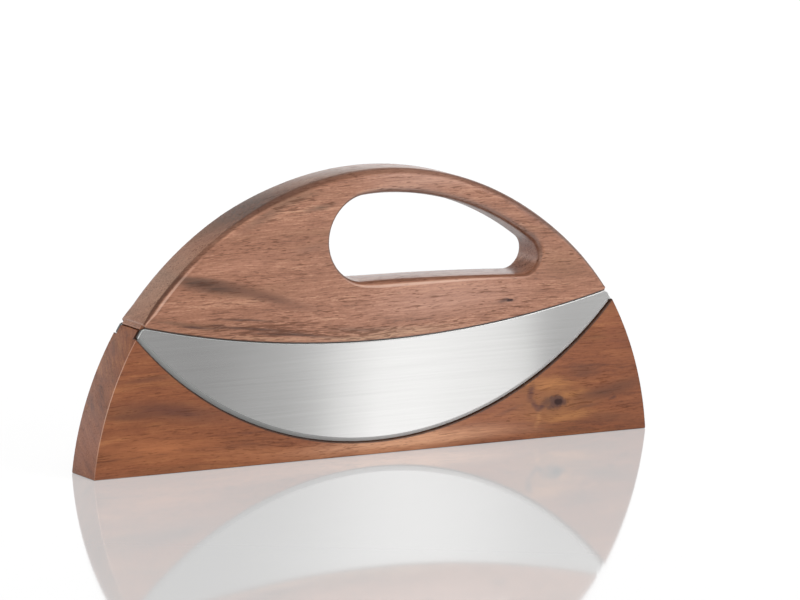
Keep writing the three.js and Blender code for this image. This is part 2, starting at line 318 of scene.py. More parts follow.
def hole_outline():
    swell = meet(
        WIDE_END, WIDE_RADIUS + PALM_SWELL_RADIUS, NARROW_END, NARROW_RADIUS + PALM_SWELL_RADIUS, -1)
    grip_start = heading(CROWN, WIDE_END)
    grip_end = heading(CROWN, NARROW_END)
    swell_start = heading(swell, NARROW_END)
    swell_end = heading(swell, WIDE_END)
    return (arc(CROWN, GRIP_RADIUS, grip_start, grip_end, -1)
            + arc(NARROW_END, NARROW_RADIUS, grip_end, swell_start + math.pi, -1, FINE_SPACING)
            + arc(swell, PALM_SWELL_RADIUS, swell_start, swell_end, 1)
            + arc(WIDE_END, WIDE_RADIUS, swell_end + math.pi, grip_start, -1, FINE_SPACING))


def crown_round(point, outward):
    """Full along the grip, smaller towards the ends, a fine arris at the seam."""
    left = HOLE_LEFT - GRIP_LEAD
    rise = smooth(point.x, left - GRIP_FADE, left)
    fall = smooth(point.x, NARROW_END_X, SHOULDER_HALF - HANDLE_CORNER)
    above = smooth(point.y, SHOULDER_HEIGHT + HANDLE_CORNER, SHOULDER_HEIGHT + END_FADE)
    end = mix(BOARD_ROUND, END_ROUND, above) if point.x < 0 else BOARD_ROUND
    upper = mix(end, GRIP_ROUND, rise * (1 - fall))
    corner = math.sin(heading(CROWN, flat(SHOULDER_HALF, SHOULDER_HEIGHT)))
    return mix(SEAM_ROUND, upper, smooth(outward.y, 0.0, corner))


def hole_round(point, outward):
    """Small at the hole's wide end, larger along the grip and around the narrow end."""
    along = smooth(point.x, HOLE_LEFT + BOARD_ROUND, HOLE_LEFT + HOLE_FADE)
    up = smooth(point.y, NARROW_END.y - NARROW_RADIUS, NARROW_END.y + NARROW_RADIUS)
    floor = mix(PALM_ROUND, BRIDGE_ROUND, smooth(point.x, WIDE_END_X, NARROW_END_X))
    return mix(BOARD_ROUND, mix(floor, GRIP_ROUND, up), along)


def base_outline():
    foot = flat(math.sqrt((FLANK_RADIUS - FOOT_RADIUS) ** 2 - (FOOT_RADIUS - FLANK.y) ** 2), FOOT_RADIUS)
    top = SHOULDER_RADIUS + LIP_DEPTH + SEAM_GAP
    horn = meet(SHOULDER, top + HORN_RADIUS, FLANK, FLANK_RADIUS - HORN_RADIUS, 1)
    far_foot, far_horn = mirrored(foot), mirrored(horn)
    underside = [(flat(x, 0.0), flat(0.0, -1.0)) for x in (-foot.x, -foot.x / 2, 0.0, foot.x / 2)]
    return (underside
            + arc(foot, FOOT_RADIUS, DOWN, heading(FLANK, foot), 1)
            + flank_arc(FLANK_RADIUS, foot, horn)
            + arc(horn, HORN_RADIUS, heading(FLANK, horn), heading(horn, SHOULDER), 1)
            + arc(SHOULDER, top, heading(SHOULDER, horn), heading(SHOULDER, far_horn), -1)
            + arc(far_horn, HORN_RADIUS, heading(far_horn, SHOULDER), heading(FLANK, far_horn), 1)
            + flank_arc(FLANK_RADIUS, far_horn, far_foot)
            + arc(far_foot, FOOT_RADIUS, heading(FLANK, far_foot), DOWN, 1))


def base_round(point, outward):
    return mix(SEAM_ROUND, FOOT_ROUND, smooth(-outward.y, 0.0, 1.0))


def blade_outline():
    top = SHOULDER_RADIUS + BOND_GAP
    tip = meet(SHOULDER, top + BLADE_TIP_RADIUS, FLANK, BLADE_FLANK - BLADE_TIP_RADIUS, 1)
    heel = meet(EDGE, EDGE_RADIUS - BLADE_HEEL_RADIUS, FLANK, BLADE_FLANK - BLADE_HEEL_RADIUS, 1)
    far_tip, far_heel = mirrored(tip), mirrored(heel)
    return (arc(SHOULDER, top, heading(SHOULDER, tip), heading(SHOULDER, far_tip), -1)
            + arc(far_tip, BLADE_TIP_RADIUS, heading(far_tip, SHOULDER), heading(FLANK, far_tip), 1)
            + flank_arc(BLADE_FLANK, far_tip, far_heel)
            + arc(far_heel, BLADE_HEEL_RADIUS, heading(FLANK, far_heel), heading(EDGE, far_heel), 1)
            + arc(EDGE, EDGE_RADIUS, heading(EDGE, far_heel), heading(EDGE, heel), 1)
            + arc(heel, BLADE_HEEL_RADIUS, heading(EDGE, heel), heading(FLANK, heel), 1)
            + flank_arc(BLADE_FLANK, heel, tip)
            + arc(tip, BLADE_TIP_RADIUS, heading(FLANK, tip), heading(tip, SHOULDER), 1))


def shoulder_run(radius, start, end):
    """Points along a circle around the shoulder's centre, from one place along X to another."""
    def below(x):
        return flat(x, SHOULDER.y - math.sqrt(radius ** 2 - x ** 2))
    turn = 1 if end > start else -1
    run = arc(SHOULDER, radius, heading(SHOULDER, below(start)), heading(SHOULDER, below(end)), turn)
    return run + [(below(end), run[-1][1])]


def tongue_outline():
    """The tongue with its lip, which reaches on between the blades to the handle's ends."""
    lip = SHOULDER_RADIUS + LIP_DEPTH
    root = SHOULDER_RADIUS - TONGUE_ROOT
    end = CROWN_RADIUS - LIP_INSET
    corner = meet(SHOULDER, lip - LIP_CORNER, CROWN, end - LIP_CORNER, 1)
    top = meet(SHOULDER, root, CROWN, end, 1)
    low, high, highest = heading(SHOULDER, corner), heading(CROWN, corner), heading(CROWN, top)
    lip_end = lip * math.cos(low)
    return (shoulder_run(lip, -lip_end, -TONGUE_HALF)
            + shoulder_run(SHOULDER_RADIUS + TONGUE_DEPTH, -TONGUE_HALF, TONGUE_HALF)
            + shoulder_run(lip, TONGUE_HALF, lip_end)[:-1]
            + arc(corner, LIP_CORNER, low, high, 1)
            + arc(CROWN, end, high, highest, 1)
            + shoulder_run(root, top.x, -top.x)[:-1]
            + arc(CROWN, end, math.pi - highest, math.pi - high, 1)
            + arc(mirrored(corner), LIP_CORNER, math.pi - high, math.pi - low, 1))


def saddle_outline():
    outer = SHOULDER_RADIUS + TONGUE_DEPTH + SADDLE_GAP
    half = TONGUE_HALF + SADDLE_GAP
    return shoulder_run(outer, -half, half) + shoulder_run(SHOULDER_RADIUS - OVERRUN, half, -half)


def wooden_edge(outline, rounding):
    """Samples of an outline with the same rounding at the front and at the back."""
    return [(point, outward, *[rounding(point, outward)] * 4) for point, outward in outline]


def blade_edge(outline):
    """Samples of the blade's outline: ground along the edge, a fine arris elsewhere."""
    samples = []
    for point, outward in outline:
        grind = smooth(-outward.y, 0.0, (EDGE.y - BLADE_END) / EDGE_RADIUS)
        inset = mix(BLADE_ARRIS, BEVEL_WIDTH, grind)
        depth = mix(BLADE_ARRIS, BLADE_THICKNESS - EDGE_LAND - BLADE_BACK_ARRIS, grind)
        samples.append((point, outward, inset, depth, BLADE_BACK_ARRIS, BLADE_BACK_ARRIS))
    return samples


def square_edge(outline):
    return wooden_edge(outline, lambda point, outward: 0.0)


def linked(name, data):
    made = bpy.data.objects.new(name, data)
    bpy.context.collection.objects.link(made)
    return made


def new_mesh(name, points, links, faces):
    mesh = bpy.data.meshes.new(name)
    mesh.from_pydata(points, links, faces)
    return linked(name, mesh)


EDGE_VALUES = ("front_inset", "front_depth", "back_inset", "back_depth")


def drawing(name, loops):
    """An object of closed flat lines that carries the edge's profile at each of its points."""
    samples = [sample for loop in loops for sample in loop]
    points = [(point.x * MM, point.y * MM, 0.0) for point, *_ in samples]
    links = []
    for loop in loops:
        first = len(links)
        links += [(first + i, first + (i + 1) % len(loop)) for i in range(len(loop))]
    made = new_mesh(name, points, links, [])
    layers = made.data.attributes
    outward = layers.new("outward", "FLOAT_VECTOR", "POINT")
    outward.data.foreach_set("vector", [c for _, ray, *_ in samples for c in (ray.x, ray.y, 0.0)])
    place = layers.new("drawn", "FLOAT_VECTOR", "POINT")
    place.data.foreach_set("vector", [c for point in points for c in point])
    for number, value in enumerate(EDGE_VALUES):
        layer = layers.new(value, "FLOAT", "POINT")
        layer.data.foreach_set("value", [sample[2 + number] * MM for sample in samples])
    return made


# Geometry trees

def geometry_tree(name, *sockets):
    """A new geometry tree with named inputs, and a way to read them."""
    group = bpy.data.node_groups.new(name, "GeometryNodeTree")
    for label, kind in (*sockets, ("Crease angle", "Float"), ("Material", "Material")):
        group.interface.new_socket(label, in_out="INPUT", socket_type="NodeSocket" + kind)
    group.interface.new_socket("Geometry", in_out="OUTPUT", socket_type="NodeSocketGeometry")
    tree = Tree(group)
    return tree, tree.node("NodeGroupInput").other


def finish_tree(tree, given, geometry):
    """Smooth faces, sharp where they bend more than the crease angle, realized and painted."""
    bend = tree.node("GeometryNodeInputMeshEdgeAngle", output="Unsigned Angle")
    rounded = tree.node("GeometryNodeSetShadeSmooth", {"domain": "FACE"}, {"Geometry": geometry})
    creased = tree.node(
        "GeometryNodeSetShadeSmooth", {"domain": "EDGE"},
        {"Geometry": rounded, "Selection": bend > given("Crease angle"), "Shade Smooth": False})
    real = tree.node("GeometryNodeRealizeInstances", {}, {"Geometry": creased})
    painted = tree.node("GeometryNodeSetMaterial", {}, {"Geometry": real, "Material": given("Material")})
    tree.node("NodeGroupOutput", {}, {"Geometry": painted})
    return tree.nodes


def board_tree():
    """A board cut to a drawing: its edge rolled from the front face to the back, both faces filled."""
    tree, given = geometry_tree(
        "edged board", ("Drawing", "Geometry"), ("Front face", "Float"), ("Back face", "Float"),
        ("Edge steps", "Int"), ("Face margin", "Float"))
    steps = given("Edge steps")
    last = steps * 2 + 3

    def stored(name, kind="FLOAT"):
        return tree.node("GeometryNodeInputNamedAttribute", {"data_type": kind}, {"Name": name})

    def with_lip(geometry, edges):
        return tree.node(
            "GeometryNodeStoreNamedAttribute", {"data_type": "BOOLEAN", "domain": "EDGE"},
            {"Geometry": geometry, "Name": "lip", "Value": edges})

    def turn(step):
        share = tree.node("ShaderNodeClamp", {}, {"Value": step / steps, "Min": 0.0, "Max": 1.0})
        return share * (math.pi / 2)

    def short_of(angle, operation):
        return 1.0 - angle.maths(operation)

    def row_place(row):
        """Where a row lies: the first and last inside a face, half of the others on each round."""
        front_turn = turn(row - 1.0)
        back_turn = turn(last - 1.0 - row)
        on_back = row > steps + 1.5
        support = (row < 0.5) + (row > last - 0.5)
        front_inset = stored("front_inset") * short_of(front_turn, "SINE")
        back_inset = stored("back_inset") * short_of(back_turn, "SINE")
        front_level = given("Front face") - stored("front_depth") * short_of(front_turn, "COSINE")
        back_level = given("Back face") + stored("back_depth") * short_of(back_turn, "COSINE")
        inset = front_inset + on_back * (back_inset - front_inset) + support * given("Face margin")
        level = front_level + on_back * (back_level - front_level)
        inward = stored("outward", "FLOAT_VECTOR").scaled(0.0 - inset)
        return stored("drawn", "FLOAT_VECTOR").vectors("ADD", inward).moved(Z=level)

    def row_line(row):
        return tree.node(
            "GeometryNodeSetPosition", {}, {"Geometry": given("Drawing"), "Position": row_place(row)})

    first_line = row_line(tree.node("ShaderNodeValue"))
    finish = tree.node("GeometryNodeRepeatOutput")
    start = tree.node(
        "GeometryNodeRepeatInput", {"pair": finish.node},
        {"Iterations": last, "Geometry": with_lip(first_line, True)})
    rolled = tree.node(
        "GeometryNodeExtrudeMesh", {"mode": "EDGES"},
        {"Mesh": start.other("Geometry"), "Selection": stored("lip", "BOOLEAN"), "Offset Scale": 0.0})
    new_lip = rolled.other("Top")
    placed = tree.node(
        "GeometryNodeSetPosition", {},
        {"Geometry": with_lip(rolled, new_lip), "Selection": new_lip,
         "Position": row_place(start.other("Iteration") + 1.0)})
    tree.feed(finish.node.inputs["Geometry"], placed)
    band = finish.other("Geometry")

    def face(row, level):
        line = tree.node("GeometryNodeMeshToCurve", {}, {"Mesh": row_line(row)})
        filled = tree.node("GeometryNodeFillCurve", {}, {"Curve": line})
        height = tree.node("ShaderNodeCombineXYZ", {}, {"Z": level})
        return tree.node("GeometryNodeSetPosition", {}, {"Geometry": filled, "Offset": height})

    front = face(tree.node("ShaderNodeValue"), given("Front face"))
    back = tree.node("GeometryNodeFlipFaces", {}, {"Mesh": face(last, given("Back face"))})
    whole = tree.node("GeometryNodeJoinGeometry", {}, {"Geometry": [band, front, back]})
    closed = tree.node("GeometryNodeMergeByDistance", {}, {"Geometry": whole, "Distance": MERGE_DISTANCE})
    for name in ("lip", "outward", "drawn", *EDGE_VALUES):
        closed = tree.node("GeometryNodeRemoveAttribute", {}, {"Geometry": closed, "Name": name})
    upright = tree.node(
        "GeometryNodeTransform", {}, {"Geometry": closed, "Rotation": (math.pi / 2, 0.0, 0.0)})
    return finish_tree(tree, given, upright)


def joinery_tree():
    """Joins a piece on and cuts two others away."""
    tree, given = geometry_tree(
        "joinery", ("Stock", "Geometry"), ("Joined on", "Object"), ("First cutter", "Object"),
        ("Second cutter", "Object"))

    def shape(name):
        return tree.node("GeometryNodeObjectInfo", {}, {"Object": given(name)}, "Geometry")

    joined = tree.node(
        "GeometryNodeMeshBoolean", {"operation": "UNION", "solver": "MANIFOLD"},
        {"Mesh 2": [given("Stock"), shape("Joined on")]})
    cut = tree.node(
        "GeometryNodeMeshBoolean", {"operation": "DIFFERENCE", "solver": "MANIFOLD"},
        {"Mesh 1": joined, "Mesh 2": [shape("First cutter"), shape("Second cutter")]})
    return finish_tree(tree, given, cut)


def stud_tree():
    """Sets a turned shape in a row along the shoulder."""
    tree, given = geometry_tree(
        "stud row", ("Shape", "Geometry"), ("Count", "Int"), ("Pitch", "Float"), ("Shift", "Float"),
        ("Reach", "Float"), ("Shoulder height", "Float"), ("Face", "Float"))
    reach = given("Reach")
    number = tree.node("GeometryNodeInputIndex")
    x = (number - (given("Count") - 1.0) * 0.5) * given("Pitch") + given("Shift")
    drop = (reach * reach - x * x).maths("SQRT")
    place = tree.node(
        "ShaderNodeCombineXYZ", {}, {"X": x, "Y": given("Face"), "Z": given("Shoulder height") - drop})
    points = tree.node("GeometryNodePoints", {}, {"Count": given("Count"), "Position": place})
    row = tree.node("GeometryNodeInstanceOnPoints", {}, {"Points": points, "Instance": given("Shape")})
    return finish_tree(tree, given, row)


def build(piece, group, **values):
    """Runs a geometry tree on an object and keeps the result as its plain mesh."""
    modifier = piece.modifiers.new(group.name, "NODES")
    modifier.node_group = group
    labels = {label.replace(" ", "_").lower(): label for label in group.interface.items_tree.keys()}
    for key, value in values.items():
        modifier[group.interface.items_tree[labels[key]].identifier] = value
    evaluated = piece.evaluated_get(bpy.context.evaluated_depsgraph_get())
    mesh = bpy.data.meshes.new_from_object(evaluated)
    piece.modifiers.clear()
    mesh.name = piece.name
    piece.data = mesh
    return piece


def scrap(*pieces):
    for piece in pieces:
        bpy.data.objects.remove(piece)


# Finishes

def new_finish(name):
    material = bpy.data.materials.new(name)
    material.use_nodes = True
    return material, Tree(material.node_tree)


def set_surface(tree, shader):
    tree.node("ShaderNodeOutputMaterial", {}, {"Surface": shader})


def in_millimetres(tree):
    return tree.node("ShaderNodeTexCoord", output="Object").scaled(1 / MM)


def noise(place, lengths, detail=2.0, roughness=0.5, shift=(0.0, 0.0, 0.0)):
    """Noise about zero, with a size in millimetres along each axis."""
    sized = place.tree.node(
        "ShaderNodeMapping", {},
        {"Vector": place, "Scale": tuple(1 / length for length in lengths), "Location": shift})
    return place.tree.node(
        "ShaderNodeTexNoise", {},
        {"Vector": sized, "Scale": 1.0, "Detail": detail, "Roughness": roughness}) - 0.5


def between(value, low, high):
    """0 below low, 1 above high, smooth in between; low may be the higher one."""
    return value.tree.node(
        "ShaderNodeMapRange", {"interpolation_type": "SMOOTHSTEP"},
        {"Value": value, "From Min": low, "From Max": high})


def patch(place, x, z, length, height, tilt):
    """1 in the middle of a long patch, 0 outside it. Half sizes in millimetres, tilt in degrees."""
    seen = place.tree.node(
        "ShaderNodeMapping", {"vector_type": "TEXTURE"},
        {"Vector": place, "Location": (x, 0.0, z), "Rotation": (0.0, -math.radians(tilt), 0.0),
         "Scale": (length, 1 / MM, height)})
    return between(seen.vectors("LENGTH", (0.0, 0.0, 0.0), "Value"), 1.0, 0.0)


def blended(share, first, second):
    return share.tree.node(
        "ShaderNodeMix", {"data_type": "RGBA", "clamp_factor": True},
        {"Factor_Float": share, "A_Color": first, "B_Color": second}, "Result_Color")


def ramp(value, stops):
    return value.tree.node("ShaderNodeValToRGB", {"stops": stops}, {"Fac": value})


def colour(red, green, blue):
    """A colour written as it reads on a screen, 0 to 255."""
    def linear(value):
        value /= 255
        return value / 12.92 if value <= 0.04045 else ((value + 0.055) / 1.055) ** 2.4
    return (linear(red), linear(green), linear(blue), 1.0)


PAINTED_HIGHLIGHT_WOOD = colour(230, 190, 168)
KNOT_STAIN = colour(68, 34, 30)
KNOT_EYE = colour(40, 16, 14)
JOINT_SHADE_WOOD = colour(48, 30, 22)
PORE_RELIEF = 0.18
PORE_DEPTH = 0.14 * MM


def hardwood(name, tones, cast, ring_tilt, shift, marks, pore_colour, oil, contrast, mottle, joint):
    """Oiled open-pored hardwood with its grain along X, its rings tilted across the thickness.

    The joint is a circle along the blade, darkened with painted shade of its gap: its centre, how deep it
    starts, where it is clear and fully shaded.
    """
    material, tree = new_finish(name)
    place = in_millimetres(tree)
    facing = tree.node("ShaderNodeTexCoord", output="Normal")
    flatness = facing.axis("Y").maths("ABSOLUTE")
    edgewise = between(flatness, 0.6, 0.2)

    # The grain sways along the board and spreads around knots
    sway = noise(place, (110, 60, 45), 1.5, shift=shift) * 9.0
    sway = sway + noise(place, (26, 14, 9), 2.0, shift=shift) * 1.6
    for x, z, length, spread, tilt in marks["knots"]:
        eye = patch(place, x, z, length * 3.2, spread * 3.2, tilt)
        sway = sway - eye * (place.axis("Z") - z) * 0.8
    swayed = place.moved(Z=sway)
    grain = tree.node(
        "ShaderNodeMapping", {},
        {"Vector": swayed, "Rotation": (math.radians(ring_tilt), 0.0, 0.0), "Location": shift})

    # Growth bands and fibres, from wide to fine
    wide = noise(grain, (150, 45, 12), 2.0)
    band = noise(grain, (80, 16, 2.6), 3.0, 0.62)
    fibre = noise(grain, (9.0, 1.0, 0.6), 2.0, 0.6)
    grit = noise(grain, (1.6, 0.9, 0.65), 1.0, shift=(2.0, 6.0, 4.0))
    rings = noise(grain, (60, 9.0, 1.6), 2.0, 0.6, shift=(4.0, 7.0, 3.0))
    blot = noise(grain, (18, 10, 5), 2.0, 0.55, shift=(9.0, 1.0, 6.0))
    fine = (fibre * 1.05 + grit * 0.45) * contrast
    tone = 0.5 + wide * 0.6 + band * 0.9 + blot * mottle + fine + rings * edgewise * 0.9
    olive = noise(grain, (110, 24, 7), 2.0, shift=(5.0, 2.0, 9.0)) + band * 0.3
    base = blended(between(olive, 0.0, 0.28) * 0.5, ramp(tone, tones), cast)

    # The figure of this one board: streak patches along its face, swirls where the grain runs around a
    # knot, and other layers where its edge cuts through them. Some streak and edge patches paint shade
    # where edges round over, sheen and highlights where light shines, and light along the base's bottom.
    stir = noise(place, (7.0, 7.0, 5.0), 2.0, 0.6, shift=(1.0, 8.0, 2.0)) * 5.0
    swirled = place.moved(X=stir, Z=stir * 0.6)
    figure = {
        "streaks_shade_and_sheen": (swayed, 1.0 + band * 1.4 + fibre * 1.3),
        "swirls": (swirled, 1.0 + blot * 1.6 + fibre * 2.0),
        "edges": (place, (1.0 + band * 0.8 + grit * 1.6) * edgewise),
    }
    for kind, (where, broken) in figure.items():
        for *shape, strength, tint in marks[kind]:
            base = blended(patch(where, *shape) * broken * strength, base, colour(*tint))

    # Pores, crowded in some bands and sparse in others
    crowd = noise(grain, (50, 10, 5), 1.5, shift=(7.0, 3.0, 5.0)) * 0.25 + band * 0.15
    for *shape, strength in marks["crowds"]:
        crowd = crowd + patch(swayed, *shape) * strength
    short = noise(grain, (4.6, 0.7, 0.5), 1.0, shift=(3.0, 9.0, 1.0)) + crowd
    long = noise(grain, (12, 0.8, 0.56), 1.0, shift=(1.0, 4.0, 8.0)) + crowd
    pores = between(short, 0.11, 0.22).maths("MAXIMUM", between(long, 0.13, 0.24))
    base = blended(pores * (0.62 * contrast), base, pore_colour)

    # Rounded edges get painted shade, more in listed spots and on rounds facing right, and a painted
    # highlight beside it in places
    dark, light = marks["painted_edge_shade"], 0.0
    for *shape, darker, lighter in marks["edge_shade_and_highlight_spots"]:
        spot = patch(place, *shape)
        dark = dark + spot * darker
        light = light + spot * lighter
    painted_edge_shade = between(flatness + light * 0.16, 0.98, 0.8) * dark
    shaded = between(facing.axis("X"), 0.04, 0.3) * 0.7
    rounded = between(flatness, 0.05, 0.35)
    base = blended(painted_edge_shade.maths("MAXIMUM", shaded) * rounded, base, pore_colour)
    # Painted highlight on the face side of rounded edges, as strong as the spots make it lighter
    painted_highlight_reach = marks["rubbed to"]
    painted_highlight = between(flatness, 0.9995, 0.99) * between(flatness, painted_highlight_reach, painted_highlight_reach + 0.08)
    base = blended(painted_highlight * light, base, PAINTED_HIGHLIGHT_WOOD)

    # Knots: a dark eye in a soft brown ring
    closed = pores * 0.7
    for x, z, length, spread, tilt in marks["knots"]:
        ring = patch(swirled, x - length * 0.5, z, length * 2.2, spread * 1.7, tilt)
        base = blended(between(ring + (fibre + grit) * 0.4, 0.1, 0.8) * 0.55, base, pore_colour)
        smudge = patch(swirled, x - length * 0.15, z, length * 1.5, spread * 1.4, tilt)
        base = blended(between(smudge + (fibre + grit) * 0.6, 0.1, 0.7) * 0.75, base, KNOT_STAIN)
        eye = patch(place, x, z, length * 0.7, spread * 0.7, tilt)
        core = between(eye + grit * 0.7, 0.1, 0.6) * 0.9
        base = blended(core, base, KNOT_EYE)
        closed = closed.maths("MAXIMUM", core)

    # Painted shade along the joint with the blade, where its gap lies in shadow
    centre, inner, clear, fully_shaded = joint
    outer = between(place.axis("Y").maths("ABSOLUTE"), inner - 0.2, inner - 0.1)
    level = place.vectors("MULTIPLY", (1.0, 0.0, 1.0))
    away = level.vectors("DISTANCE", (centre.x, 0.0, centre.y), "Value")
    base = blended(outer * between(away, clear, fully_shaded) * 0.8, base, JOINT_SHADE_WOOD)

    relief = tree.node(
        "ShaderNodeBump", {},
        {"Height": fibre * 0.5 - pores, "Strength": PORE_RELIEF, "Distance": PORE_DEPTH})
    shader = tree.node(
        "ShaderNodeBsdfPrincipled", {},
        {"Base Color": base, "Roughness": 0.45 + closed * 0.3 - wide * 0.15, "Normal": relief,
         "Coat Weight": (1.0 - closed) * oil, "Coat Roughness": 0.26})
    set_surface(tree, shader)
    return material


BRUSHED = [(0.0, (0.55, 0.546, 0.538, 1.0)), (1.0, (0.67, 0.667, 0.66, 1.0))]
BEVEL_LIGHT_TONES = [(0.2, (0.44, 0.455, 0.45, 1.0)), (0.75, (0.95, 0.95, 0.94, 1.0))]
TURNED = [(0.2, (0.34, 0.338, 0.33, 1.0)), (0.8, (0.52, 0.518, 0.51, 1.0))]
ARRIS_HIGHLIGHT = (0.8, 0.8, 0.79, 1.0)
CUT_EDGE_SHADE = (0.2, 0.195, 0.19, 1.0)


def brushed_steel():
    """Stainless sheet brushed along its length, its bevel ground satin and its cut edges dull. The bevel
    carries painted light, dark at the left end and light towards the right, the arrises a painted
    highlight, and the cut edges painted shade.
    """
    material, tree = new_finish("brushed steel")
    place = in_millimetres(tree)
    facing = tree.node("ShaderNodeTexCoord", output="Normal")
    across, upward = facing.axis("Y"), facing.axis("Z")
    flatness = across.maths("ABSOLUTE")
    cut_edge = between(flatness, 0.35, 0.15)
    bevel = between(upward, -0.2, -0.4) * between(flatness, 0.2, 0.4)
    arris = between(flatness, 0.92, 0.82) * between(flatness, 0.4, 0.55) * (1.0 - bevel)
    satin = bevel.maths("MAXIMUM", arris)
    hair = noise(place, (50, 40, 0.3), 2.0, 0.6)
    streak = noise(place, (70, 40, 1.1), 2.0, 0.6, shift=(3.0, 1.0, 2.0))
    cloud = noise(place, (60, 60, 30), 2.0)
    face = ramp(0.5 + hair * 0.5 + streak * 0.5 + cloud * 0.25, BRUSHED)
    # Painted light on the ground bevel: darker at the left end, lighter towards the right
    ground = ramp(0.5 - place.axis("X") * across.maths("SIGN") * 0.005, BEVEL_LIGHT_TONES)
    base = blended(bevel, face, ground)
    # Painted highlight along the arrises; those facing up take the bevel's painted light
    base = blended(arris, base, blended(between(upward, 0.25, 0.45), ARRIS_HIGHLIGHT, ground))
    # Painted shade on the cut edges, which are also dull
    base = blended(cut_edge, base, CUT_EDGE_SHADE)
    shader = tree.node(
        "ShaderNodeBsdfPrincipled", {},
        {"Base Color": base, "Metallic": 1.0 - satin * 0.95,
         "Roughness": 0.2 + hair * 0.05 + cut_edge * 0.25 + satin * 0.2,
         "Anisotropic": 0.85, "Anisotropic Rotation": 0.25})
    set_surface(tree, shader)
    return material


def turned_steel():
    """Lathe-turned stud steel, with fine rings across its axis."""
    material, tree = new_finish("turned steel")
    rings = noise(in_millimetres(tree), (60, 0.15, 60), 1.0)
    shader = tree.node(
        "ShaderNodeBsdfPrincipled", {},
        {"Base Color": ramp(0.5 + rings, TURNED), "Metallic": 1.0, "Roughness": 0.36 + rings * 0.1})
    set_surface(tree, shader)
    return material


# Marks of the two boards. Each begins with its place along X and up, half length, half height and tilt.
# Streak patches, swirls and edge patches go on with strength and tint; some streak and edge patches are
# painted shade and painted sheen. Crowds of pores go on with strength, spots of painted edge shade and
# highlight with how much darker and how much lighter. The painted edge shade is how dark every rounded
# edge is painted; the painted highlight runs in to the flatness given with it.
HANDLE_MARKS = {
    "streaks_shade_and_sheen": [
        (-88, 82.6, 36, 5.2, -12, 1, (72, 38, 14)),
        (-96, 86, 26, 1.6, -8, 0.6, (84, 54, 34)),
        (-58, 75.6, 38, 4.5, -16, 0.8, (110, 64, 40)),
        (-100, 65.5, 30, 2, -12, 0.6, (98, 64, 40)),
        (-66, 61, 44, 1.1, -6, 1, (78, 46, 30)),
        (-44, 57.6, 42, 1.1, -4, 1, (82, 50, 34)),
        (-70, 65.3, 22, 0.9, -6, 0.9, (84, 52, 36)),
        (-96, 64.2, 9, 0.9, -8, 1, (70, 34, 26)),
        (-84, 64, 8, 0.8, -8, 0.9, (74, 40, 30)),
        (-8, 58.6, 30, 2, -3, 0.6, (116, 80, 60)),
        (-56, 56.4, 40, 1.6, -5, 0.5, (196, 150, 118)),
        (-20, 55.2, 40, 1.6, -2, 0.5, (198, 154, 124)),
        # Painted shade where the crown and the hole's top edge round over
        (-44, 119, 20, 4, 14, 0.6, (118, 84, 58)),
        (-60, 112.5, 22, 4.5, 26, 0.6, (120, 84, 62)),
        (-32, 113.6, 14, 2, 10, 0.6, (110, 76, 54)),
        (-36, 96, 14, 3, 4, 0.4, (126, 86, 66)),
        (80, 102, 12, 4, -30, 0.4, (124, 74, 58)),
        (97, 80, 22, 11, -10, 0.4, (146, 100, 66)),
        (8, 55.5, 46, 3.5, 0, 0.5, (196, 156, 124)),
        # Painted sheen across the bridge and the grip
        (36, 69, 60, 13, 0, 0.45, (206, 156, 134)),
        (22, 122, 46, 8, -4, 0.4, (206, 162, 142)),
        (-70, 92, 40, 6, 6, 0.35, (184, 126, 100)),
    ],
    "edges": [
        (-106, 84, 34, 18, 46, 0.7, (190, 150, 126)),
        # Painted shade on the crown's rim
        (-62, 113, 36, 14, 26, 0.95, (100, 80, 70)),
        # Painted sheen at the top of the crown
        (-20, 128, 46, 10, 8, 0.5, (160, 146, 136)),
        # Painted highlight on the wall at the hole's narrow end
        (88, 88, 12, 10, 0, 0.6, (150, 116, 108)),
    ],
    "crowds": [
        (-45, 60, 80, 6.5, -4, 0.13),
        (-40, 117, 22, 8, 12, 0.08),
        (12, 57, 40, 5, 0, 0.1),
    ],
    "swirls": [],
    "painted_edge_shade": 0.5,
    "rubbed to": 0.85,
    # Spots of painted edge shade and painted highlight
    "edge_shade_and_highlight_spots": [
        (-114, 79, 34, 14, 50, 0.4, 0.5),
        (-55, 117, 46, 14, 24, 0.3, 0),
        (22, 75.5, 76, 8, -2, 0, 0.6),
    ],
    "knots": [(69.4, 65.2, 3.6, 1.1, -2)],
}
